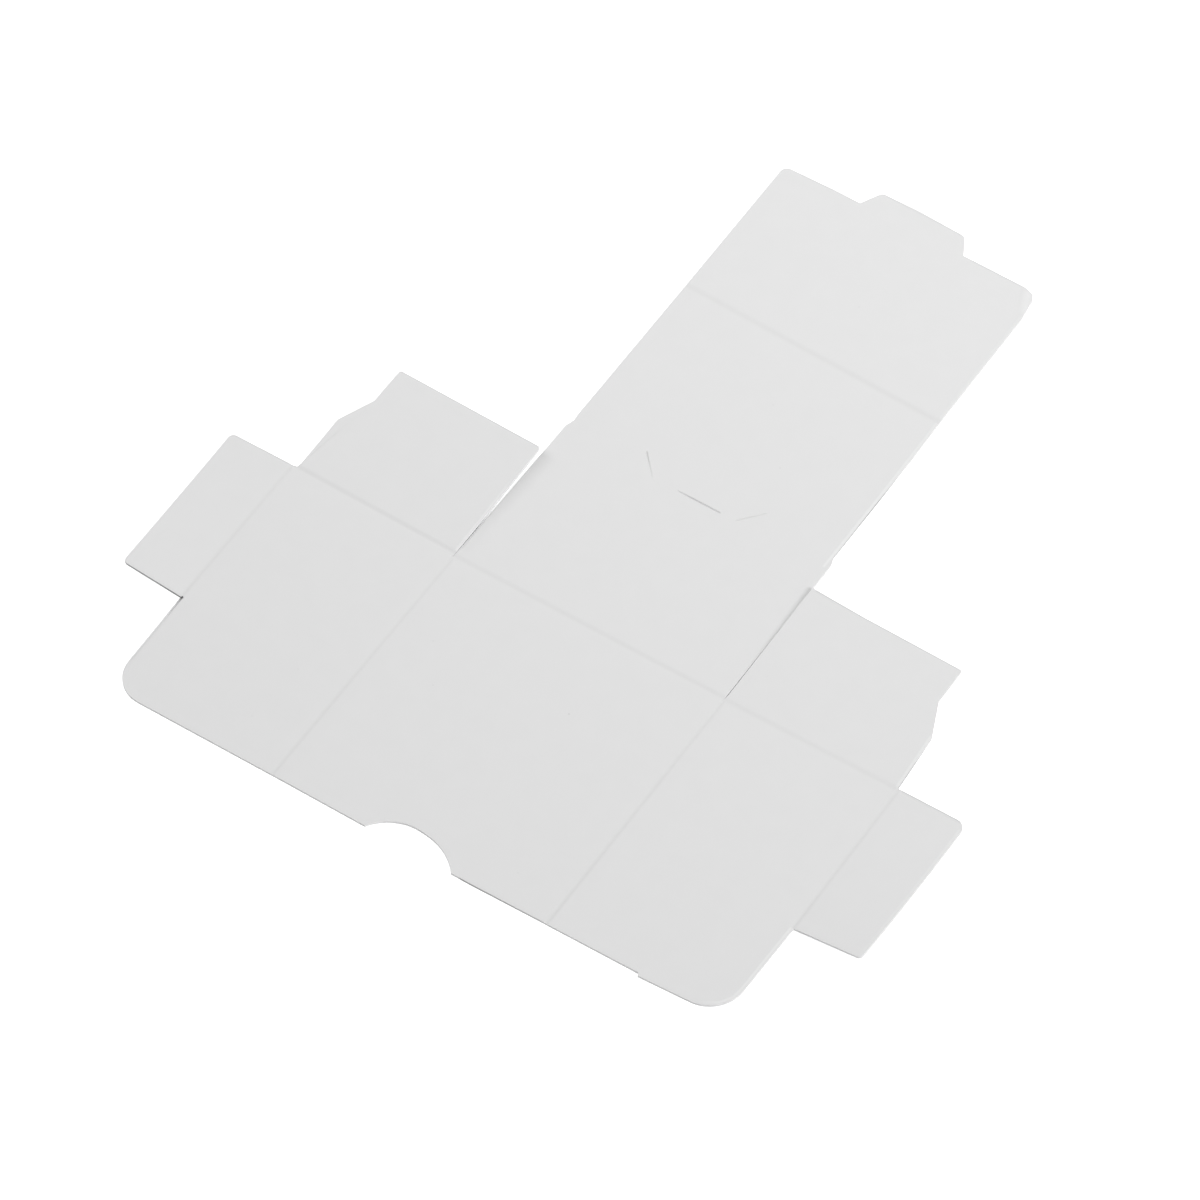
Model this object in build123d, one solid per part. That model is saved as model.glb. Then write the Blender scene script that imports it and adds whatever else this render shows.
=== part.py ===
from build123d import *
import os

# Slide storage box, as its flat one-piece blank of white board.
# The blank lies on z = 0. X runs along the back wall, Y from the thumb notch to the lock tab.
# Outlines are drawn from the corner of back wall and bottom, and moved to the middle at the end.
# Every fold turns upwards about a line at the top face, which becomes the inside of the box.

# board, cuts and creases
board = 0.5
fold_clearance = 0.1
cut_gap = 0.2
crease_width = 1.0
rim_crease_width = 1.8
groove_width = 0.7
rim_groove_width = 1.4
groove_depth = 0.15

# walls: width and height suit a 50 mm square slide mount
width = 52.0
height = 52.0
depth = 32.5
side_taper = 0.3
side_corner_radius = 5.8
thumb_notch_width = 16.9
thumb_notch_depth = 4.1

# flaps at the front of the side walls
front_flap_width = 12.4
front_flap_height = 31.6
front_flap_radius = 1.0
left_front_rest = 1.0
right_front_rest = 2.2

# flaps at the foot of the side walls
bottom_flap_length = 25.4
bottom_flap_setback = 0.85
bottom_flap_relief = 4.05
relief_start = 11.8
relief_full = 18.2
bottom_flap_radius = 0.4
left_bottom_rest = 2.0
right_bottom_rest = 1.0

# front wall, its lock tongue, and the lining that folds in behind it
front_wall_height = 32.75
front_wall_inset = 0.7
bevel_length = 1.4
tongue_reach = 2.9
tongue_cut_past = 1.0
tongue_tip_width = 16.3
tongue_base_width = 23.0
tongue_gap = 0.15
lining_length = 31.0
lining_inset = 0.9
lining_radius = 1.0
tab_height = 3.65
tab_base_width = 20.2
tab_tip_width = 16.2
tab_radius = 0.5

# fold lines, each layer leaving room for one board and its clearance
layer = board + fold_clearance
side_fold = width / 2
flap_fold = side_fold + depth
bottom_fold = layer / 2
tuck_fold = -layer / 2
front_fold = bottom_fold + depth + layer
rim_fold = front_fold + front_wall_height
lining_end = rim_fold + lining_length
tab_end = lining_end + tab_height
middle = (tab_end - height) / 2
cut_reach = height + flap_fold

# panel edges beside the creases
edge = crease_width / 2
rim_edge = rim_crease_width / 2
bottom_half = side_fold - cut_gap / 2
tuck_side = side_fold + cut_gap / 2
wall_half = side_fold - front_wall_inset
lining_half = side_fold - lining_inset
flap_top = bottom_fold - fold_clearance
flap_foot = flap_top - front_flap_height
tuck_end = tuck_fold + bottom_flap_length
tuck_side_out = flap_fold - bottom_flap_setback
tuck_relief_out = flap_fold - bottom_flap_relief
tongue_tip = front_fold - tongue_reach
tongue_base = front_fold + tongue_cut_past


def plate(corners, rounded=(), radius=0.0):
    """Board of full thickness on z = 0, with some corners of its outline rounded."""
    outline = make_face(Polyline(*corners, close=True))
    for x, y in rounded:
        corner = min(outline.vertices(), key=lambda v: abs(v.X - x) + abs(v.Y - y))
        outline = fillet(corner, radius)
    return extrude(outline, board)


def groove(plane, place, across, z, deep):
    """V groove along a crease, drawn on the plane across the fold line and run past its ends."""
    section = Polygon((place - across / 2, z), (place + across / 2, z), (place, z - deep), align=None)
    return extrude(plane * section, cut_reach, both=True)


def mirrored(corners):
    """An outline's corners with their mirror images, in order round the outline."""
    return corners + [(-x, y) for x, y in reversed(corners)]


def sided(sign, corners):
    """Corners drawn for the right side, on the side that sign gives."""
    return [(sign * x, y) for x, y in corners]


def tongue_half(y):
    """Half the lock tongue's width at y, between its tip and its base."""
    share = (y - tongue_tip) / (tongue_base - tongue_tip)
    return (tongue_tip_width + share * (tongue_base_width - tongue_tip_width)) / 2


def slot_half(y):
    """Half the width of the opening round the lock tongue at y."""
    return tongue_half(y) + tongue_gap


def back_wall():
    """Tall wall behind the slides, with the thumb notch in its top edge."""
    side = side_fold - edge
    corners = [(side, -height), (side, bottom_fold - edge)]
    notch_radius = (thumb_notch_width**2 / 4 + thumb_notch_depth**2) / (2 * thumb_notch_depth)
    notch = Pos(0, thumb_notch_depth - height - notch_radius) * Circle(notch_radius)
    return plate(mirrored(corners)) - extrude(notch, board)


def side_wall(sign):
    """Side wall: its free edge below the front flap slants in to a rounded top corner."""
    inner = side_fold + edge
    outer = flap_fold - edge
    top_corner = (flap_fold - side_taper, -height)
    corners = [
        (inner, -height),
        (inner, tuck_fold - edge),
        (outer, tuck_fold - edge),
        (outer, flap_foot),
        (flap_fold, flap_foot),
        top_corner,
    ]
    return plate(sided(sign, corners), sided(sign, [top_corner]), side_corner_radius)


def side_crease(sign):
    """Crease between back wall and side wall, one step longer on the back wall's half."""
    corners = [
        (side_fold - edge, -height),
        (side_fold - edge, bottom_fold - edge),
        (side_fold, bottom_fold - edge),
        (side_fold, tuck_fold - edge),
        (side_fold + edge, tuck_fold - edge),
        (side_fold + edge, -height),
    ]
    return plate(sided(sign, corners)) - groove(Plane.XZ, sign * side_fold, groove_width, board, groove_depth)


def front_flap(sign, rest):
    """Flap that folds in across the front, between front wall and lining."""
    outer = flap_fold + front_flap_width
    free = [(outer, flap_top), (outer, flap_foot)]
    corners = [(flap_fold + edge, flap_foot), (flap_fold + edge, flap_top)] + free
    flap = plate(sided(sign, corners), sided(sign, free), front_flap_radius)
    return flap.rotate(Axis((sign * flap_fold, 0, board), (0, -sign, 0)), rest)


def front_flap_crease(sign):
    """Crease between side wall and front flap."""
    inner, outer = flap_fold - edge, flap_fold + edge
    corners = [(inner, flap_foot), (inner, flap_top), (outer, flap_top), (outer, flap_foot)]
    return plate(sided(sign, corners)) - groove(Plane.XZ, sign * flap_fold, groove_width, board, groove_depth)


def bottom_flap(sign, rest):
    """Flap that folds in under the slides; its front edge steps back to clear the lock."""
    far = [(tuck_side, tuck_end), (tuck_relief_out, tuck_end)]
    corners = [(tuck_side_out, tuck_fold + edge), (tuck_side, tuck_fold + edge)] + far + [
        (tuck_relief_out, tuck_fold + relief_full),
        (tuck_side_out, tuck_fold + relief_start),
    ]
    flap = plate(sided(sign, corners), sided(sign, far), bottom_flap_radius)
    return flap.rotate(Axis((0, tuck_fold, board), (1, 0, 0)), rest)


def bottom_flap_crease(sign):
    """Crease between side wall and bottom flap."""
    near, far = tuck_fold - edge, tuck_fold + edge
    corners = [(tuck_side, near), (tuck_side, far), (tuck_side_out, far), (flap_fold - edge, near)]
    return plate(sided(sign, corners)) - groove(Plane.YZ, tuck_fold, groove_width, board, groove_depth)


def bottom_panel():
    """Bottom of the box, with the opening that the lock tongue leaves in its front edge."""
    far = front_fold - edge
    tip = tongue_tip - tongue_gap
    corners = [
        (bottom_half, bottom_fold + edge),
        (bottom_half, far - bevel_length),
        (wall_half, far),
        (slot_half(far), far),
        (slot_half(tip), tip),
    ]
    return plate(mirrored(corners))


def bottom_crease():
    """Crease between back wall and bottom."""
    corners = [(bottom_half, bottom_fold - edge), (bottom_half, bottom_fold + edge)]
    return plate(mirrored(corners)) - groove(Plane.YZ, bottom_fold, groove_width, board, groove_depth)


def front_wall():
    """Low front wall, with the lock tongue that reaches back past its fold."""
    near = front_fold + edge
    corners = [
        (wall_half, rim_fold - rim_edge),
        (wall_half, near),
        (slot_half(near), near),
        (slot_half(tongue_base), tongue_base),
        (tongue_half(tongue_base), tongue_base),
        (tongue_half(tongue_tip), tongue_tip),
    ]
    return plate(mirrored(corners))


def front_wall_crease():
    """The two lengths of crease beside the lock tongue, scored in the face below."""
    near, far = front_fold - edge, front_fold + edge
    corners = [(slot_half(near), near), (wall_half, near), (wall_half, far), (slot_half(far), far)]
    score = groove(Plane.YZ, front_fold, groove_width, 0, -groove_depth)
    return Part() + [plate(sided(sign, corners)) - score for sign in (-1, 1)]


def rim_crease():
    """Wide crease of the front rim, where the lining turns back on the front wall."""
    corners = [(wall_half, rim_fold - rim_edge), (lining_half, rim_fold + rim_edge)]
    return plate(mirrored(corners)) - groove(Plane.YZ, rim_fold, rim_groove_width, board, groove_depth)


def front_lining():
    """Lining that folds down inside the front wall, with its lock tab."""
    free = (lining_half, lining_end)
    tip = (tab_tip_width / 2, tab_end)
    corners = mirrored([(lining_half, rim_fold + rim_edge), free, (tab_base_width / 2, lining_end), tip])
    lining = plate(corners, sided(1, [free]) + sided(-1, [free]), lining_radius)
    tab_edges = [e for e in lining.edges().filter_by(Axis.Z) if abs(e.center().Y - tab_end) < tab_radius]
    return fillet(tab_edges, tab_radius)


parts = {
    "back_wall": back_wall(),
    "bottom_crease": bottom_crease(),
    "bottom_panel": bottom_panel(),
    "front_wall_crease": front_wall_crease(),
    "front_wall": front_wall(),
    "rim_crease": rim_crease(),
    "front_lining": front_lining(),
}
sides = (("left", -1, left_front_rest, left_bottom_rest), ("right", 1, right_front_rest, right_bottom_rest))
for side, sign, front_rest, bottom_rest in sides:
    parts[f"{side}_wall"] = side_wall(sign)
    parts[f"{side}_wall_crease"] = side_crease(sign)
    parts[f"{side}_front_flap"] = front_flap(sign, front_rest)
    parts[f"{side}_front_flap_crease"] = front_flap_crease(sign)
    parts[f"{side}_bottom_flap"] = bottom_flap(sign, bottom_rest)
    parts[f"{side}_bottom_flap_crease"] = bottom_flap_crease(sign)

os.makedirs("parts", exist_ok=True)
for name, piece in parts.items():
    export_step(Pos(0, -middle, 0) * piece, f"parts/{name}.step")
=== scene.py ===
import math

import bpy
from mathutils import Matrix, Vector


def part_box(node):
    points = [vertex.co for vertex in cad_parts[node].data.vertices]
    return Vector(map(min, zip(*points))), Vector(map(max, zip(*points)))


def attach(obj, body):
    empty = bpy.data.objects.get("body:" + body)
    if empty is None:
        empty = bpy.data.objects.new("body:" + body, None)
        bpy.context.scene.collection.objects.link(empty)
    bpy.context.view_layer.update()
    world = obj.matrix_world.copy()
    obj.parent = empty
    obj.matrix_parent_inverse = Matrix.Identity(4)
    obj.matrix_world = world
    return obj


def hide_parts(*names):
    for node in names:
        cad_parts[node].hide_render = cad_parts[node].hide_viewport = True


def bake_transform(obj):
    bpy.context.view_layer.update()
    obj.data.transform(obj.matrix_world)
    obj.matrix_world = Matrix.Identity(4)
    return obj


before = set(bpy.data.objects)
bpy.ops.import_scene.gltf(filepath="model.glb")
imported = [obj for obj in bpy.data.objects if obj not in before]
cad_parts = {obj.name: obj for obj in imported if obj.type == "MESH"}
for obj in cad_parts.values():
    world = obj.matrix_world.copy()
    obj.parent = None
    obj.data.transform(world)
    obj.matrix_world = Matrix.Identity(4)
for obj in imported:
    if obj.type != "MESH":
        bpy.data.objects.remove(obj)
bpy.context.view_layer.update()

# Back wall
# The tall wall behind the slides, 52 mm square, of solid white board half a millimetre thick.
# The whole blank is one die-cut sheet of it. A thumb notch is cut into this wall's top edge.
mm = 0.001
board = 0.5
back_wall_height = 52.0
corner_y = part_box("back_wall")[0].y / mm + back_wall_height
side_fold = 26.0
bottom_fold = 0.3
crease_half = 0.5
wall_half = side_fold - crease_half
wall_foot = bottom_fold - crease_half
die_sides = 240
cut_rounding = 0.04
groove_steps = 4
press_depth = 0.8
least_press = 0.0005
steep = 0.6
hair = 0.01
weld = 0.0001


def place(x, y, z=0.0):
    """A point in metres, from millimetres on the blank.

    x counts from the blank's middle, y from the corner of its walls, z from the table.
    """
    return Vector((x * mm, (y + corner_y) * mm, z * mm))


def cut(start, end, drop=True):
    """Cuts the sheet in hand along a line, and drops what lies to the line's right."""
    along = place(*end) - place(*start)
    bpy.ops.object.mode_set(mode="EDIT")
    bpy.ops.mesh.select_all(action="SELECT")
    bpy.ops.mesh.bisect(
        plane_co=place(*start),
        plane_no=(along.y, -along.x, 0.0),
        clear_outer=drop,
        threshold=weld * mm,
    )
    bpy.ops.object.mode_set(mode="OBJECT")


def lay_sheet(name, outline):
    """A sheet on the table, cut to a convex outline that is given anticlockwise."""
    xs, ys = zip(*outline)
    low, high = place(min(xs), min(ys)), place(max(xs), max(ys))
    bpy.ops.object.select_all(action="DESELECT")
    bpy.ops.mesh.primitive_plane_add(size=1.0, location=(low + high) / 2)
    sheet = bpy.context.object
    sheet.name = sheet.data.name = name
    sheet.scale = (high.x - low.x, high.y - low.y, 1.0)
    bpy.ops.object.transform_apply(location=True, rotation=False, scale=True)
    for start, end in zip(outline, outline[1:] + outline[:1]):
        cut(start, end)
    return sheet


def pick(sheet, kind, chosen):
    """Opens the sheet in edit mode with only these vertices, edges or polygons selected."""
    kinds = ("vertices", "edges", "polygons")
    bpy.context.tool_settings.mesh_select_mode = [kind == each for each in kinds]
    for each in kinds:
        layer = getattr(sheet.data, each)
        layer.foreach_set("select", [each == kind and index in chosen for index in range(len(layer))])
    bpy.ops.object.mode_set(mode="EDIT")


def thicken(sheet):
    """Gives the sheet the board's thickness, upwards from the table."""
    layer = sheet.modifiers.new("board", "SOLIDIFY")
    layer.thickness, layer.offset = board * mm, 1.0
    bpy.ops.object.modifier_apply(modifier=layer.name)


def punch(sheet, centre, radius):
    """Takes a round bite out of the board."""
    bpy.ops.object.select_all(action="DESELECT")
    bpy.ops.mesh.primitive_cylinder_add(
        vertices=die_sides, radius=radius * mm, depth=4 * board * mm, location=place(*centre)
    )
    die = bpy.context.object
    bite = sheet.modifiers.new("bite", "BOOLEAN")
    bite.operation, bite.solver, bite.object = "DIFFERENCE", "EXACT", die
    bpy.context.view_layer.objects.active = sheet
    bpy.ops.object.modifier_apply(modifier=bite.name)
    bpy.data.objects.remove(die)


def soften(sheet, carries_on):
    """Rounds the cut rims a little, as the die leaves them, but not where the sheet carries on."""
    rims = set()
    for face in sheet.data.polygons:
        middle = face.center / mm
        if abs(face.normal.z) < steep and not carries_on(middle.x, middle.y - corner_y):
            rims.update(face.edge_keys)
    level = {
        edge.index
        for edge in sheet.data.edges
        if edge.key in rims
        and abs(sheet.data.vertices[edge.key[0]].co.z - sheet.data.vertices[edge.key[1]].co.z) < hair * mm
    }
    pick(sheet, "edges", level)
    bpy.ops.mesh.bevel(offset=cut_rounding * mm, segments=2, affect="EDGES")
    bpy.ops.object.mode_set(mode="OBJECT")


def rule_grooves(*scores):
    """Rules the sheet in hand with lines along its grooves, and one beyond them on each side."""
    for start, end, half, _ in scores:
        across = Vector((end[1] - start[1], start[0] - end[0])).normalized() * half
        for step in range(-groove_steps - 1, groove_steps + 2):
            shift = across * (step / groove_steps)
            cut(Vector(start) + shift, Vector(end) + shift, drop=False)


def soft_step(share):
    """0 to 1 as the share goes from 0 to 1, level at both ends."""
    share = min(max(share, 0.0), 1.0)
    return share * share * (3 - 2 * share)


def press(sheet, *scores):
    """Presses grooves into the sheet's top face, deepest along their middles."""
    depths = {}
    for vertex in sheet.data.vertices:
        sunk = 0.0
        for start, end, half, (first, last) in scores:
            along = place(*end) - place(*start)
            offset = vertex.co - place(*start)
            away = abs(along.cross(offset).z) / along.length / mm
            reached = min(max(along.dot(offset) / along.length_squared, 0.0), 1.0)
            sunk = max(sunk, press_depth * (first + (last - first) * reached) * soft_step(1 - away / half))
        if vertex.co.z > board * mm / 2 and sunk > least_press:
            depths.setdefault(round(sunk, 3), set()).add(vertex.index)
    for sunk, members in depths.items():
        pick(sheet, "vertices", members)
        bpy.ops.transform.translate(value=(0.0, 0.0, -sunk * mm))
        bpy.ops.object.mode_set(mode="OBJECT")


class Signal:
    """A shader socket. Sums written on it add their Math nodes, and node() adds any other node."""

    def __init__(self, tree, socket=None):
        self.tree, self.socket = tree, socket

    def node(self, kind, settings=None, inputs=None, output=0):
        """Adds a node of this kind, sets and links its inputs, and gives back one of its outputs."""
        made = self.tree.nodes.new("ShaderNode" + kind)
        for name, value in (settings or {}).items():
            setattr(made, name, value)
        for name, value in (inputs or {}).items():
            if isinstance(value, Signal):
                self.tree.links.new(value.socket, made.inputs[name])
            else:
                made.inputs[name].default_value = value
        return Signal(self.tree, made.outputs[output] if made.outputs else None)

    def math(self, operation, *values):
        """A Math node on some numbers."""
        return self.node("Math", {"operation": operation}, dict(enumerate(values)))

    def vector(self, operation, *values, output=0):
        """A Vector Math node on some vectors."""
        return self.node("VectorMath", {"operation": operation}, dict(enumerate(values)), output)

    def mix(self, factor, first, second):
        """A colour between two others."""
        return self.node("Mix", {"data_type": "RGBA"}, {0: factor, 6: first, 7: second}, output=2)

    def __add__(self, other):
        return self.math("ADD", self, other)

    def __sub__(self, other):
        return self.math("SUBTRACT", self, other)

    def __mul__(self, other):
        return self.math("MULTIPLY", self, other)

    def __rsub__(self, other):
        return self.math("SUBTRACT", other, self)

    __radd__, __rmul__ = __add__, __mul__


def grey(level):
    """A neutral colour of this lightness."""
    return (level, level, level, 1.0)


def new_material(name):
    """An empty material, with its Object coordinates in millimetres."""
    material = bpy.data.materials.new(name)
    material.use_nodes = True
    material.node_tree.nodes.clear()
    coordinates = Signal(material.node_tree).node("TexCoord", output="Object")
    return material, coordinates.node("Mapping", {}, {"Vector": coordinates, "Scale": (1 / mm,) * 3})


def matte(base, roughness, normal):
    """Ends a material in a dull uncoated surface."""
    surface = base.node(
        "BsdfPrincipled",
        {},
        {"Base Color": base, "Roughness": roughness, "Normal": normal, "Specular IOR Level": 0.3},
    )
    base.node("OutputMaterial", {}, {"Surface": surface})


def strongest(spot, lines):
    """How strong a mark is at this spot, by the strongest of some lines drawn on the sheet.

    A line has its start, its end, how far to each side it shows, and its strength at each end.
    """
    flat = spot.node("Mapping", {}, {"Vector": spot, "Scale": (1.0, 1.0, 0.0)})
    mark = None
    for start, end, half, (first_strength, last_strength) in lines:
        first, last = place(*start) / mm, place(*end) / mm
        length = (last - first).length
        along = (last - first) / length
        reached = flat.vector("DOT_PRODUCT", flat.vector("SUBTRACT", flat, first), along, output="Value")
        inside = flat.node("Clamp", {}, {"Value": reached, "Min": 0.0, "Max": length})
        foot = flat.node("VectorMath", {"operation": "SCALE"}, {0: along, "Scale": inside})
        away = flat.vector("DISTANCE", flat, flat.vector("ADD", foot, first), output="Value")
        band = flat.node(
            "MapRange",
            {"interpolation_type": "SMOOTHSTEP"},
            {"Value": away, "From Min": half, "From Max": 0.0},
        )
        band = band * (first_strength + inside * ((last_strength - first_strength) / length))
        mark = band if mark is None else mark.math("MAXIMUM", mark, band)
    return mark


paper_tones = (grey(0.74), grey(0.77))
score_and_shade_tone, highlight_tone, speck_and_shadow_tone = grey(0.37), grey(0.86), grey(0.1)
dent_depth = 0.8


def white_face(name, scores, dents_and_shade, highlights, specks_and_shadows):
    """The sheet's smooth face: cloudy formation and fine felt, with this piece's own marks.

    Scores, dents and bright marks are lines. The score lines darken the face where the board is pressed,
    with painted shade in the groove;
    the dent lines are painted shade over a shallow relief; the bright lines are painted highlights.
    Specks have their place, radius and strength; besides the board's dark flecks they give a painted shadow
    spot.
    """
    material, spot = new_material(name)
    cloud = spot.node("TexNoise", {}, {"Vector": spot, "Scale": 0.25, "Detail": 3.0})
    felt = spot.node("TexNoise", {}, {"Vector": spot, "Scale": 5.0, "Detail": 4.0})
    base = spot.mix(cloud * 0.6 + felt * 0.4, *paper_tones)
    relief = felt * 0.002
    # Score lines darken the face where the board is pressed, with painted shade in the groove; dent lines
    # are painted shade over a shallow relief.
    for lines, sunk in ((scores, 0.0), (dents_and_shade, dent_depth)):
        if lines:
            mark = strongest(spot, lines)
            base = spot.mix(mark * (0.7 + felt * 0.6), base, score_and_shade_tone)
            relief = relief - mark * sunk
    # Bright lines are painted highlights along rims that face the light.
    if highlights:
        base = spot.mix(strongest(spot, highlights), base, highlight_tone)
    # Specks are dark flecks in the board, and one painted shadow spot at the left front flap's foot.
    for x, y, radius, strength in specks_and_shadows:
        away = spot.vector("DISTANCE", spot, place(x, y, board) / mm, output="Value")
        mark = spot.node(
            "MapRange",
            {"interpolation_type": "SMOOTHSTEP"},
            {"Value": away, "From Min": radius, "From Max": 0.0, "To Max": strength},
        )
        base = spot.mix(mark, base, speck_and_shadow_tone)
    normal = spot.node("Bump", {}, {"Distance": mm, "Height": relief})
    matte(base, 0.78 + felt * 0.15, normal)
    return material


ply_tones = (grey(0.8), grey(0.92))
darkened_edge_tone = grey(0.4)
fray_height = 0.03


def raw_edge(name, dark=()):
    """The board's cut edge: dull and fibrous, in plies along the sheet, and darker along some lines, most
    of them painted shade.
    """
    material, spot = new_material(name)
    plies = spot.node(
        "TexNoise",
        {},
        {"Vector": spot.node("Mapping", {}, {"Vector": spot, "Scale": (1.2, 1.2, 12.0)}), "Scale": 1.0},
    )
    fray = spot.node("TexNoise", {}, {"Vector": spot, "Scale": 9.0, "Detail": 3.0})
    tone = plies * 0.7 + fray * 0.3
    base = spot.mix(tone, *ply_tones)
    if dark:
        base = spot.mix(strongest(spot, dark), base, darkened_edge_tone)
    normal = spot.node("Bump", {}, {"Strength": 0.5, "Distance": fray_height * mm, "Height": tone})
    matte(base, 0.9 + fray * 0.08, normal)
    return material


cut_edge = raw_edge("cut_edge")
rim_angle = 20


def dress(sheet, scores=(), dents_and_shade=(), highlights=(), specks_and_shadows=(), edge=cut_edge):
    """Gives the sheet its white faces with their marks, its raw cut edges and smooth rims."""
    sheet.data.materials.append(white_face(f"{sheet.name}_face", scores, dents_and_shade, highlights, specks_and_shadows))
    sheet.data.materials.append(edge)
    for face in sheet.data.polygons:
        face.material_index = int(abs(face.normal.z) < steep)
    bpy.ops.object.select_all(action="DESELECT")
    sheet.select_set(True)
    bpy.context.view_layer.objects.active = sheet
    bpy.ops.object.shade_smooth_by_angle(angle=math.radians(rim_angle))


back_wall = lay_sheet(
    "back_wall_board",
    [
        (-wall_half, -52.12),
        (12.0, -52.08),
        (wall_half, -51.76),
        (wall_half, wall_foot),
        (-wall_half, wall_foot),
    ],
)
left_score = ((-25.9, -0.3), (-25.87, -52.2), 0.55, (0.055, 0.1))
foot_score = ((-25.9, -0.65), (25.9, -0.3), 0.8, (0.072, 0.072))
notch_bites = (((0.12, -58.64), 10.5), ((-0.77, -56.64), 8.6))
rule_grooves(left_score, foot_score)
thicken(back_wall)
for centre, radius in notch_bites:
    punch(back_wall, centre, radius)
soften(back_wall, lambda x, y: abs(x) > wall_half - hair or y > wall_foot - hair)
press(back_wall, left_score, foot_score)
dress(
    back_wall,
    [left_score, foot_score],
    specks_and_shadows=[
        (-19.23, -16.59, 0.22, 0.09),
        (-14.36, -23.74, 0.22, 0.11),
        (6.91, -16.5, 0.26, 0.19),
        (17.14, -46.3, 0.22, 0.08),
    ],
    # Painted shade on the back wall's front cut edge, which faces away from the light.
    edge=raw_edge("back_wall_edge", [((10.5, -52.1), (25.5, -51.8), 1.0, (0.75, 0.25))]),
)
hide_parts("back_wall")
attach(back_wall, "back_wall")

# Side wall creases
# The sheet is pressed along a line on each side of the back wall, and bends there.
# A crease is a shallow groove in the face that becomes the inside of the box.
sides = (("left", -1), ("right", 1))
tuck_fold = -0.3
tuck_near = tuck_fold - crease_half
side_start = side_fold + crease_half
crease_steps = 10
crease_step = 2 * crease_half / crease_steps
beyond = 80.0


def across_at(y):
    """A line right across the blank, drawn to the right."""
    return (-beyond, y), (beyond, y)


def along_at(x):
    """A line right along the blank, drawn away from the thumb notch."""
    return (x, -beyond), (x, beyond)


def right_of(x, y, line):
    """Whether a point on the blank lies to the right of a line."""
    (x0, y0), (x1, y1) = line
    return (y1 - y0) * (x - x0) - (x1 - x0) * (y - y0) > 0


def notch(sheet, *lines):
    """Takes out of the sheet in hand what lies to the right of every one of these lines."""
    for start, end in lines:
        cut(start, end, drop=False)
    inside = {
        face.index
        for face in sheet.data.polygons
        if all(right_of(face.center.x / mm, face.center.y / mm - corner_y, line) for line in lines)
    }
    pick(sheet, "polygons", inside)
    bpy.ops.mesh.delete(type="FACE")
    bpy.ops.object.mode_set(mode="OBJECT")


def rule(start, end, half=crease_half, steps=crease_steps):
    """Rules the sheet in hand with lines along a fold, where it can bend."""
    across = Vector((end[1] - start[1], start[0] - end[0])).normalized()
    for step in range(1, steps):
        shift = across * half * (2 * step / steps - 1)
        cut(Vector(start) + shift, Vector(end) + shift, drop=False)


def sided(sign, points):
    """Points drawn for the right side, on the side that sign gives, still anticlockwise."""
    moved = [(sign * x, y) for x, y in points]
    return moved if sign > 0 else moved[::-1]


crease_front = {"left": (-52.12, -52.14), "right": (-51.76, -51.73)}
wall_score = {"left": left_score, "right": ((26.07, -0.3), (26.14, -52.2), 0.55, (0.06, 0.12))}
for side, sign in sides:
    inner_front, outer_front = crease_front[side]
    outline = [
        (wall_half, inner_front),
        (side_start, outer_front),
        (side_start, wall_foot),
        (wall_half, wall_foot),
    ]
    crease = lay_sheet(f"{side}_wall_crease_board", sided(sign, outline))
    rule(*along_at(sign * side_fold))
    notch(crease, sided(sign, along_at(side_fold)), across_at(tuck_near)[::-1])
    rule_grooves(wall_score[side], foot_score)
    thicken(crease)
    soften(crease, lambda x, y: abs(abs(x) - side_fold) > crease_half - hair or y > tuck_near - hair)
    press(crease, wall_score[side], foot_score)
    dress(crease, [wall_score[side], foot_score])
    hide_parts(f"{side}_wall_crease")
    place(sign * wall_half, 0)
    place(sign * side_start, 0)
    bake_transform(crease)

# Side walls
# The walls at the ends of the row of slides, with a big round corner at the front of their top.
# Below the front flap their free edge slants in. The right one's front edge has a small die nick.
flap_fold = 58.5
flap_near = flap_fold - crease_half
flap_foot = {"left": -31.65, "right": -31.27}
wall_corner = {"left": (-57.65, -52.41), "right": (58.5, -51.11)}
wall_corner_radius = 5.8
wall_outline = {
    "left": [(-side_start, tuck_near), (-58.85, tuck_near), wall_corner["left"], (-side_start, -52.14)],
    "right": [(side_start, -52.97), wall_corner["right"], (59.45, tuck_near), (side_start, tuck_near)],
}
nick = (((side_start, -51.77), (43.1, -51.45)), ((43.1, -51.55), (43.33, -52.03)))
flap_score = {
    "left": ((-58.3, -0.1), (-58.05, -31.6), 0.55, (0.05, 0.085)),
    "right": ((58.52, -0.1), (58.76, -31.4), 0.55, (0.07, 0.085)),
}
tuck_score = {
    "left": ((-26.0, -0.09), (-57.6, 0.21), 0.75, (0.1, 0.095)),
    "right": ((26.1, -0.56), (57.8, -0.04), 0.85, (0.065, 0.065)),
}
wall_scores = {"left": [flap_score["left"]], "right": [wall_score["right"], tuck_score["right"]]}
# Painted shadow: a dark line down the left wall's free edge below the raised front flap's foot.
wall_dents_and_shade = {
    "left": [
        ((-57.95, -31.7), (-57.9, -32.7), 0.3, (0.95, 0.35)),
        ((-57.9, -32.7), (-57.75, -36.3), 0.26, (0.35, 0.04)),
        ((-57.75, -36.3), (-57.55, -46.0), 0.3, (0.06, 0.06)),
    ],
    "right": [],
}
# Painted highlight along the right wall's outer rim and round corner.
wall_highlights = {
    "left": [],
    "right": [
        ((58.45, -31.5), (58.2, -45.0), 0.4, (0.6, 0.6)),
        ((58.2, -45.0), (57.92, -47.2), 0.4, (0.6, 0.6)),
        ((57.92, -47.2), (56.65, -49.15), 0.4, (0.6, 0.45)),
        ((56.65, -49.15), (54.66, -50.4), 0.4, (0.45, 0.2)),
    ],
}
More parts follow.
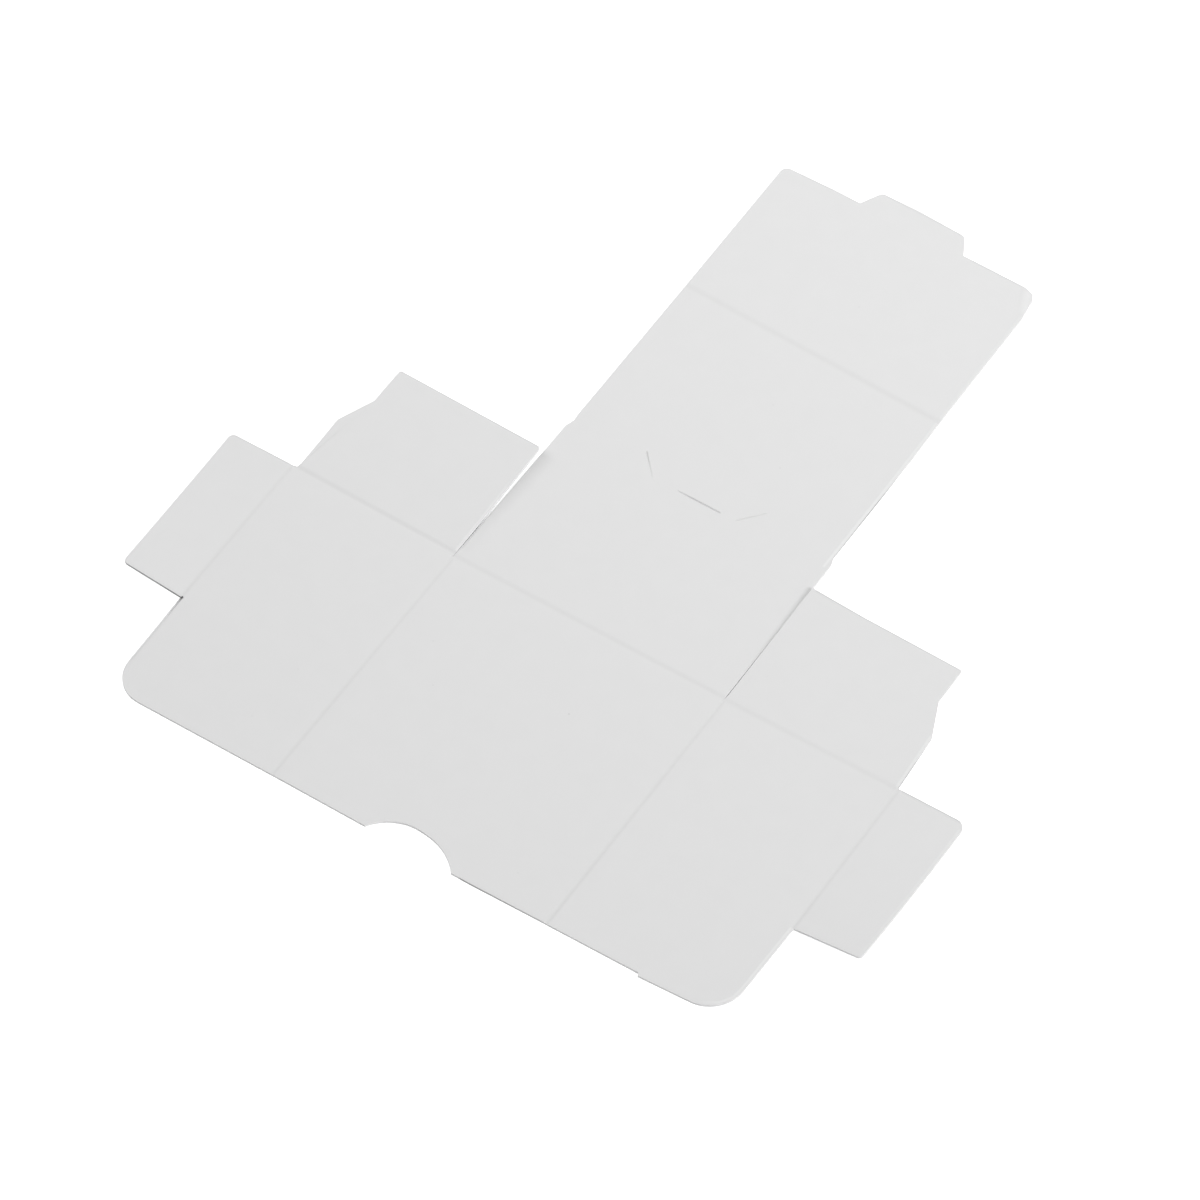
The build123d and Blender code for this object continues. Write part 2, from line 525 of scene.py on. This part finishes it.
# A painted shadow, nearly black, at the inner corner under the left front flap's raised foot.
painted_corner_shadow = (-57.88, -31.72, 0.42, 0.95)
wall_specks_and_shadows = {
    "left": [painted_corner_shadow, (-35.01, -44.62, 0.22, 0.09), (-34.16, -33.04, 0.22, 0.08)],
    "right": [],
}


def round_corner(sheet, corner, radius, segments=8):
    """Rounds a corner of the sheet in hand, before it gets its thickness."""
    nearest = min(sheet.data.vertices, key=lambda vertex: (vertex.co - place(*corner)).length)
    pick(sheet, "vertices", {nearest.index})
    bpy.ops.mesh.bevel(offset=radius * mm, segments=segments, affect="VERTICES")
    bpy.ops.object.mode_set(mode="OBJECT")


for side, sign in sides:
    wall = lay_sheet(f"{side}_wall_board", wall_outline[side])
    round_corner(wall, wall_corner[side], wall_corner_radius, 14)
    foot = flap_foot[side]
    notch(wall, sided(sign, along_at(flap_near)), across_at(foot)[::-1])
    if side == "right":
        notch(wall, *nick)
    rule_grooves(*wall_scores[side])
    thicken(wall)
    soften(
        wall,
        lambda x, y: abs(x) < side_start + hair
        or y > tuck_near - hair
        or (abs(abs(x) - flap_near) < hair and y > foot),
    )
    press(wall, *wall_scores[side])
    dress(wall, wall_scores[side], wall_dents_and_shade[side], wall_highlights[side], wall_specks_and_shadows[side])
    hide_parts(f"{side}_wall")
    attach(wall, f"{side}_wall")

# Front flap creases
# The crease between a side wall and its front flap, pressed in the same sheet as the others.
# The blank has lain folded up a little here, more at the flap's foot than at its top.
flap_far = flap_fold + crease_half
flap_top = {"left": 0.1, "right": 0.22}
flap_rest = {"left": 1.0, "right": 2.2}
flap_closed = 90.0
flap_spring = {"left": 225.0, "right": 181.9}
flap_rows = 8
flap_edge = {
    # Painted shadow along the left front flap's raised foot edge.
    "left": raw_edge("left_flap_edge", [((-69.0, -31.6), (-58.0, -31.6), 1.0, (0.75, 1.0))]),
    "right": cut_edge,
}


def rule_rows(foot, top):
    """Rules the sheet in hand across, at even steps from foot to top, so that it can twist."""
    for row in range(1, flap_rows):
        cut(*across_at(foot + (top - foot) * row / flap_rows), drop=False)


def flap_angle(side, y):
    """How far the front flap stands up at y, in degrees: it is sprung a little more towards its foot."""
    share = 1 - (flap_top[side] - y) / flap_spring[side]
    return flap_closed - soft_step(share) * (flap_closed - flap_rest[side])


def lift(sheet, hinge, axis, sign, angle_at):
    """Turns the sheet up about a hinge in its top face, each point by its own angle in degrees."""
    groups = {}
    for vertex in sheet.data.vertices:
        angle = angle_at(vertex.co.x / mm, vertex.co.y / mm - corner_y)
        groups.setdefault(round(angle, 3), set()).add(vertex.index)
    for angle, members in groups.items():
        pick(sheet, "vertices", members)
        bpy.ops.transform.rotate(
            value=-sign * math.radians(angle), orient_axis=axis, center_override=place(*hinge, board)
        )
        bpy.ops.object.mode_set(mode="OBJECT")


for side, sign in sides:
    top, foot = flap_top[side], flap_foot[side]
    outline = [(flap_near, foot), (flap_far, foot), (flap_far, top), (flap_near, top)]
    crease = lay_sheet(f"{side}_front_flap_crease_board", sided(sign, outline))
    rule(*along_at(sign * flap_fold))
    rule_rows(foot, top)
    rule_grooves(flap_score[side])
    thicken(crease)
    soften(
        crease,
        lambda x, y: abs(abs(x) - flap_fold) > crease_half - hair
        or (y < foot + hair and abs(x) < flap_near + crease_step),
    )
    press(crease, flap_score[side])
    lift(
        crease,
        (sign * flap_fold, 0.0),
        "Y",
        -sign,
        lambda x, y: flap_angle(side, y) * soft_step(abs(x) - flap_near),
    )
    # The left crease carries the painted shadow spot at the flap's foot too.
    dress(crease, [flap_score[side]], specks_and_shadows=[painted_corner_shadow] if side == "left" else [], edge=flap_edge[side])
    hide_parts(f"{side}_front_flap_crease")
    place(sign * flap_near, 0)
    place(sign * flap_far, 0)
    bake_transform(crease)

# Front flaps
# The narrow flaps that fold in across the front, behind the front wall.
# The sheet springs up a little at its creases, and more at the flap's foot than at its top.
flap_outer = {
    "left": ((70.3, -0.17), 1.0, (69.62, -31.65), 0.9),
    "right": ((71.19, 0.08), 1.8, (71.4, -31.36), 0.8),
}
flap_scores = {"left": [], "right": [flap_score["right"]]}
# Painted shade along the front flaps' top edges, over a shallow relief.
flap_dents_and_shade = {
    "left": [((-59.2, -0.2), (-69.5, -0.45), 0.3, (0.05, 0.05))],
    "right": [((59.2, -0.1), (70.0, -0.25), 0.3, (0.09, 0.09))],
}
# Painted highlight along the right front flap's outer edge.
flap_highlights = {"left": [], "right": [((70.85, -29.5), (70.85, -1.8), 0.4, (0.2, 0.3))]}
for side, sign in sides:
    top, foot = flap_top[side], flap_foot[side]
    far_top, top_radius, far_foot, foot_radius = flap_outer[side]
    outline = sided(sign, [(flap_far, foot), far_foot, far_top, (flap_far, top)])
    flap = lay_sheet(f"{side}_front_flap_board", outline)
    round_corner(flap, (sign * far_top[0], far_top[1]), top_radius)
    round_corner(flap, (sign * far_foot[0], far_foot[1]), foot_radius)
    rule_rows(foot, top)
    rule_grooves(*flap_scores[side])
    thicken(flap)
    soften(flap, lambda x, y: abs(x) < flap_far + hair)
    press(flap, *flap_scores[side])
    lift(flap, (sign * flap_fold, 0.0), "Y", -sign, lambda x, y: flap_angle(side, y))
    dress(flap, flap_scores[side], flap_dents_and_shade[side], flap_highlights[side], edge=flap_edge[side])
    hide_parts(f"{side}_front_flap")
    place(0, top - flap_spring[side])
    place(0, top)
    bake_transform(flap)

# Bottom flap creases
# The crease at the foot of each side wall, pressed in the same sheet as the others.
# It is a board's thickness and a little room nearer than the bottom's, since the flap folds inside.
tuck_far = tuck_fold + crease_half
tuck_rest = {"left": 2.0, "right": 1.0}
tuck_inner = {"left": (26.06, 26.05), "right": (26.02, 26.08)}
tuck_outer = {"left": 57.8, "right": 58.0}
slit_start = -0.4
slit_bend = -0.45
corner_start = 0.1
for side, sign in sides:
    slit_low, slit_high = tuck_inner[side]
    outline = [
        (slit_low, tuck_near),
        (flap_near, tuck_near),
        (flap_near, corner_start),
        (tuck_outer[side], tuck_far),
        (slit_high, tuck_far),
        (slit_low, slit_bend),
    ]
    crease = lay_sheet(f"{side}_bottom_flap_crease_board", sided(sign, outline))
    rule(*across_at(tuck_fold))
    rule_grooves(tuck_score[side])
    thicken(crease)
    soften(
        crease,
        lambda x, y: abs(y - tuck_fold) > crease_half - hair
        or (abs(x) < side_fold + crease_step and y < slit_start),
    )
    press(crease, tuck_score[side])
    lift(
        crease,
        (0.0, tuck_fold),
        "X",
        1,
        lambda x, y: tuck_rest[side] * soft_step(y - tuck_near),
    )
    dress(crease, [tuck_score[side]])
    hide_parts(f"{side}_bottom_flap_crease")
    place(0, tuck_near)
    place(0, tuck_far)
    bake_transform(crease)

# Bottom flaps
# The flaps that fold in under the slides, and lie on the bottom of the finished box.
# Their outer side steps back to clear the lock. The blank has lain with them raised a little.
tuck_outline = {
    "left": [(-26.05, tuck_far), (-26.13, 24.4), (-26.5, 24.86), (-57.8, 25.35), (-57.8, tuck_far)],
    "right": [(26.08, tuck_far), (58.3, tuck_far), (57.7, 11.5), (56.5, 25.65), (26.06, 25.65)],
}
tuck_bites = {
    "left": [
        [
            ((-57.3, 11.6), (-57.3, 1.1)),
            ((-57.3, 1.1), (-57.45, 0.55)),
            ((-57.45, 0.55), (-57.8, tuck_far)),
        ],
        [((-54.25, 25.2), (-54.4, 17.9)), ((-54.4, 17.9), (-57.3, 11.6))],
    ],
    "right": [
        [((57.68, 11.3), (54.84, 17.9)), ((54.84, 17.9), (54.84, 25.2))],
        [((60.0, 24.91), (36.0, 25.19)), ((36.0, 25.19), (25.9, 25.61))],
    ],
}
tuck_corner = (54.5, 25.1)
tuck_corner_radius = 0.4
# Painted shade along the bottom flaps' far edges, over a shallow relief.
tuck_dents_and_shade = {
    "left": [((-27.0, 24.55), (-54.0, 25.05), 0.3, (0.05, 0.05))],
    "right": [
        ((27.0, 25.2), (36.0, 24.9), 0.3, (0.08, 0.08)),
        ((36.0, 24.9), (54.0, 24.65), 0.3, (0.07, 0.05)),
    ],
}
# Painted highlights: the left flap's lit inner cut edge and the right flap's lit outer rim.
tuck_highlights = {
    "left": [((-26.3, 0.5), (-26.45, 15.0), 0.35, (0.6, 0.3))],
    "right": [((58.0, 0.5), (57.4, 11.3), 0.4, (0.45, 0.45))],
}
tuck_specks = {"left": [], "right": [(29.32, 6.95, 0.25, 0.09), (35.29, 9.48, 0.22, 0.08)]}
tuck_edge = {
    "left": cut_edge,
    # Painted shade along the right bottom flap's outer cut edge.
    "right": raw_edge(
        "right_tuck_edge",
        [((58.3, 0.3), (58.1, 5.0), 1.0, (0.7, 0.7)), ((58.1, 5.0), (57.8, 10.0), 1.0, (0.7, 0.0))],
    ),
}
for side, sign in sides:
    flap = lay_sheet(f"{side}_bottom_flap_board", tuck_outline[side])
    for lines in tuck_bites[side]:
        notch(flap, *lines)
    round_corner(flap, (sign * tuck_corner[0], tuck_corner[1]), tuck_corner_radius, 4)
    rule_grooves(tuck_score[side])
    thicken(flap)
    soften(flap, lambda x, y: y < tuck_far + hair)
    press(flap, tuck_score[side])
    lift(flap, (0.0, tuck_fold), "X", 1, lambda x, y: tuck_rest[side])
    dress(flap, [tuck_score[side]], tuck_dents_and_shade[side], tuck_highlights[side], tuck_specks[side], tuck_edge[side])
    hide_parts(f"{side}_bottom_flap")
    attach(flap, f"{side}_bottom_flap")

# Bottom crease
# The crease between the back wall and the bottom, where the sheet bends.
# The tool pressed it a little askew, and its groove runs over both panels.
bottom_start = bottom_fold + crease_half
bottom_foot = [(-25.97, bottom_start), (25.96, bottom_start)]
crease = lay_sheet("bottom_crease_board", [(-25.98, wall_foot), (25.96, wall_foot), *bottom_foot[::-1]])
rule(*across_at(bottom_fold))
rule_grooves(foot_score)
thicken(crease)
soften(crease, lambda x, y: abs(y - bottom_fold) > crease_half - hair)
press(crease, foot_score)
dress(crease, [foot_score])
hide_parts("bottom_crease")
place(0, wall_foot)
place(0, bottom_start)
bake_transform(crease)

# Bottom
# The panel that the slides stand on, cut from the sheet with a narrow slit on each side.
# The lock tongue's cut leaves an opening in its front edge.
front_fold = 33.4
front_near = front_fold - crease_half
front_corners = [(25.43, front_near), (-25.08, front_near)]
tongue_tip = 30.2
tongue_left = [(-11.46, 33.98), (-7.94, 30.21)]
tongue_right = [(8.33, 30.46), (11.53, 34.24)]
opening_half = 12.0
opening_start = 30.0
slit = 0.015
slit_left = [(x - slit, y) for x, y in tongue_left[::-1]]
slit_right = [(x + slit, y) for x, y in tongue_right[::-1]]
# Painted shadows on the bottom along both side slits, cast by the raised bottom flaps' inner edges, over a
# shallow relief.
bottom_dents_and_shadows = [
    ((-25.85, 1.5), (-25.72, 24.0), 0.45, (0.12, 0.14)),
    ((-25.7, 2.0), (-25.6, 12.0), 2.0, (0.04, 0.13)),
    ((-25.5, 12.0), (-25.1, 23.5), 2.5, (0.13, 0.13)),
    ((25.85, 6.0), (25.75, 25.1), 0.8, (0.02, 0.12)),
]
# Painted shade in the lock tongue's cut lines, over a shallow relief.
tongue_cut_shades = [
    ((-7.92, 30.2), (-11.46, 33.98), 0.24, (0.03, 0.13)),
    ((-2.9, 30.22), (0.0, 30.24), 0.22, (0.05, 0.15)),
    ((0.0, 30.24), (5.15, 30.24), 0.22, (0.15, 0.12)),
    ((8.33, 30.46), (11.53, 34.24), 0.2, (0.08, 0.06)),
]
# Painted highlights along the right rim of the bottom, front wall and lining strip.
front_highlights = [
    ((25.12, 30.5), (25.12, 46.0), 0.4, (0.6, 0.6)),
    ((25.12, 46.0), (24.95, 65.0), 0.4, (0.6, 0.3)),
]
# Darker along the front wall's right cut edge.
front_edge = raw_edge(
    "front_edge",
    [((25.5, 33.0), (25.5, 46.0), 1.0, (0.5, 0.95)), ((25.5, 46.0), (25.4, 54.0), 1.0, (0.95, 0.0))],
)
bottom = lay_sheet("bottom_board", [*bottom_foot, (25.97, 31.34), *front_corners, (-25.62, 31.4)])
notch(bottom, slit_left, slit_right, across_at(tongue_tip)[::-1])
thicken(bottom)
soften(
    bottom,
    lambda x, y: y < bottom_start + hair
    or y > front_near - hair
    or (abs(x) < opening_half and y > opening_start),
)
dress(bottom, [], [*bottom_dents_and_shadows, *tongue_cut_shades], front_highlights[:1], edge=front_edge)
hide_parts("bottom_panel")
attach(bottom, "bottom")

# Front wall crease
# Two lengths of crease beside the lock tongue, scored in the face below, so they don't show on top.
front_far = front_fold + crease_half
strip_end = 34.2
front_left, front_right = -25.2, 25.43
crease = lay_sheet(
    "front_wall_crease_board", [*front_corners[::-1], (front_right, strip_end), (front_left, strip_end)]
)
rule(*across_at(front_fold))
cut(*across_at(front_far), drop=False)
notch(crease, slit_left, slit_right)
thicken(crease)
soften(crease, lambda x, y: y < front_near + hair or y > strip_end - hair or abs(x) < opening_half)
dress(crease, [], tongue_cut_shades, front_highlights[:1], edge=front_edge)
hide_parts("front_wall_crease")
place(0, front_near)
place(0, front_far)
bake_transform(crease)

# Front wall
# The low wall in front of the slides. A three-sided cut leaves the lock tongue standing on it,
# which sticks out below as the wall folds up and leaves the opening for the tab.
rim_fold = 66.15
rim_half = 0.9
rim_near = rim_fold - rim_half
rim_foot = [(front_left, rim_near), (25.24, rim_near)]
rim_score = ((-25.2, 66.72), (24.9, 65.5), 0.95, (0.065, 0.08))
tongue_middle = (-3.06, 5.15)
tongue_middle_tip = 30.235
front_wall = lay_sheet(
    "front_wall_board",
    [(front_left, tongue_tip), (front_right, tongue_tip), (front_right, 57.0), *rim_foot[::-1]],
)
notch(front_wall, across_at(strip_end), tongue_left)
notch(front_wall, across_at(strip_end), tongue_right)
notch(
    front_wall,
    along_at(tongue_middle[0]),
    along_at(tongue_middle[1])[::-1],
    across_at(tongue_middle_tip),
)
rule_grooves(rim_score)
thicken(front_wall)
soften(front_wall, lambda x, y: y > rim_near - hair or y < strip_end + hair)
press(front_wall, rim_score)
dress(
    front_wall,
    [rim_score],
    tongue_cut_shades,
    front_highlights,
    [(8.44, 43.29, 0.25, 0.09), (0.48, 53.55, 0.22, 0.08)],
    front_edge,
)
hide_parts("front_wall")
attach(front_wall, "front_wall")

# Rim crease
# The wide soft crease at the top of the front wall, where the sheet turns right back on itself.
rim_steps = 18
rim_far = rim_fold + rim_half
lining_foot = [(-25.2, rim_far), (25.2, rim_far)]
crease = lay_sheet("rim_crease_board", [*rim_foot, *lining_foot[::-1]])
rule(*across_at(rim_fold), rim_half, rim_steps)
rule_grooves(rim_score)
thicken(crease)
soften(crease, lambda x, y: abs(y - rim_fold) > rim_half - hair)
press(crease, rim_score)
# Painted highlights along the lining's right rim and on its bent corner.
lining_highlights = [
    ((24.95, 66.5), (24.85, 91.0), 0.5, (0.15, 0.15)),
    ((23.3, 96.2), (24.5, 93.2), 1.3, (0.3, 0.3)),
]
dress(crease, [rim_score], highlights=lining_highlights[:1])
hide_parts("rim_crease")
place(0, rim_near)
place(0, rim_far)
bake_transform(crease)

# Front lining
# The panel that folds down inside the front wall. Its tab goes through the bottom and locks the box.
# One corner of it is worn round.
tab_left, tab_right = (-10.42, 97.6), (10.03, 97.42)
tab_root_half = 10.5
tab_root_start = 97.0
tab_stretch = 4.5
tab_narrowing = 0.76
tab_middle = (-0.35, 101.0)
tab_end = [(7.85, 101.03), (-1.0, 101.4), (-8.53, 101.27)]
lining_left = (-25.3, 97.22)
worn_corner = [(25.14, 91.0), (24.58, 95.6), (24.0, 96.7), (22.0, 97.4)]
# Painted shade along the lining's far edges and tab end, and along the bend of its worn corner, over a
# shallow relief.
lining_dents_and_shade = [
    ((-12.0, 97.25), (-22.0, 97.0), 0.3, (0.04, 0.04)),
    ((12.0, 97.1), (21.5, 97.05), 0.3, (0.07, 0.07)),
    ((-7.5, 100.95), (7.0, 100.75), 0.3, (0.05, 0.05)),
    ((21.7, 97.0), (24.6, 91.2), 0.7, (0.035, 0.01)),
]
lining = lay_sheet("front_lining_board", [*lining_foot, *worn_corner, tab_right, tab_left, lining_left])
cut(*along_at(tab_left[0]), drop=False)
cut(*along_at(tab_right[0]), drop=False)
corners = [
    (abs(vertex.co.x / mm) < tab_root_half and vertex.co.y / mm - corner_y > tab_root_start)
    for vertex in lining.data.vertices
]
tab_root = {edge.index for edge in lining.data.edges if all(corners[end] for end in edge.key)}
pick(lining, "edges", tab_root)
bpy.ops.mesh.extrude_edges_move(TRANSFORM_OT_translate={"value": (0.0, tab_stretch * mm, 0.0)})
bpy.ops.transform.resize(value=(tab_narrowing, 1.0, 1.0), center_override=place(*tab_middle))
bpy.ops.object.mode_set(mode="OBJECT")
for start, end in zip(tab_end, tab_end[1:]):
    cut(start, end)
for corner, radius, segments in ((lining_left, 1.3, 8), ((-8.5, 101.27), 0.5, 4), ((7.9, 101.0), 0.5, 4)):
    round_corner(lining, corner, radius, segments)
rule_grooves(rim_score)
thicken(lining)
soften(lining, lambda x, y: y < rim_far + hair)
press(lining, rim_score)
dress(lining, [rim_score], lining_dents_and_shade, lining_highlights, [(1.31, 78.6, 0.22, 0.09)])
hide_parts("front_lining")
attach(lining, "front_lining")

# Studio
# A white table and soft daylight, a little stronger from the right and from behind.
# The table's and the lamps' own sizes and places are in metres.
table_side = 4.0
table_drop = 0.02 * mm
gap_height = 0.6 * mm
seen_share = 0.8
bpy.ops.object.select_all(action="DESELECT")
bpy.ops.mesh.primitive_plane_add(size=table_side, location=(0.0, 0.0, -table_drop))
table = bpy.context.object
table.name = "table"


def seen_directly(spot):
    """1 on the rays that see a background: the camera's own, and those through or off something shiny."""
    kinds = ("Is Camera Ray", "Is Glossy Ray", "Is Transmission Ray")
    camera_ray, glossy_ray, through_ray = (spot.node("LightPath", output=kind) for kind in kinds)
    return spot.math("MAXIMUM", camera_ray, spot.math("MAXIMUM", glossy_ray, through_ray))


# The table's own shine stays off in the covered gaps of the sheet, so that they read dark.
cloth, spot = new_material("white_table")
open_sky = spot.node("AmbientOcclusion", {"samples": 8}, {"Distance": gap_height}, output="AO")
bare = spot.node(
    "MapRange",
    {"interpolation_type": "SMOOTHSTEP"},
    {"Value": open_sky, "From Min": 0.18, "From Max": 0.4},
)
seen_white = spot.mix(seen_directly(spot) * bare, grey(0.0), grey(seen_share))
shine = spot.node("Emission", {}, {"Color": seen_white})
matte_white = spot.node("BsdfDiffuse", {}, {"Color": grey(0.85)})
spot.node("OutputMaterial", {}, {"Surface": spot.node("AddShader", {}, {0: shine, 1: matte_white})})
table.data.materials.append(cloth)

window_softness = 40
for name, lean, strength in (("right window", 60, 1.65), ("left window", -60, 1.25)):
    bpy.ops.object.light_add(type="SUN", rotation=(0.0, math.radians(lean), 0.0))
    window = bpy.context.object
    window.name = name
    window.data.energy = strength
    window.data.angle = math.radians(window_softness)

overhead_place = (0.045, 0.2, 0.35)
overhead_length, overhead_width = 0.5, 0.15
bpy.ops.object.light_add(type="AREA", location=overhead_place)
overhead = bpy.context.object
overhead.name = "overhead"
overhead.data.shape = "RECTANGLE"
overhead.data.size, overhead.data.size_y = overhead_length, overhead_width
overhead.data.energy = 0.575
overhead.rotation_euler = (-overhead.location).to_track_quat("-Z", "Y").to_euler()

room = 0.295
world = bpy.data.worlds.new("studio")
bpy.context.scene.world = world
world.use_nodes = True
world.node_tree.nodes.clear()
sky = Signal(world.node_tree)
light = sky.node("Background", {}, {"Color": grey(1.0), "Strength": seen_directly(sky) * (1 - room) + room})
sky.node("OutputWorld", {}, {"Surface": light})

# The camera's angles, distance and long lens are those of a fit to 36 points of the photograph.
photo_width = 1200
focal_pixels = 7540.785
camera_distance = 1214.807
aim = place(-1.567, 5.238)
azimuth, elevation, roll = (math.radians(angle) for angle in (33.737, 53.981, -0.264))
turn = (
    Matrix.Rotation(azimuth, 4, "Z")
    @ Matrix.Rotation(math.pi / 2 - elevation, 4, "X")
    @ Matrix.Rotation(roll, 4, "Z")
)
bpy.ops.object.camera_add()
camera = bpy.context.object
bpy.context.scene.camera = camera
towards = turn.to_3x3() @ Vector((0.0, 0.0, camera_distance * mm))
camera.matrix_world = Matrix.Translation(aim + towards) @ turn
camera.data.sensor_width = 36.0
camera.data.lens = camera.data.sensor_width * focal_pixels / photo_width
camera.data.clip_start = 0.1
bpy.context.scene.view_settings.view_transform = "Standard"
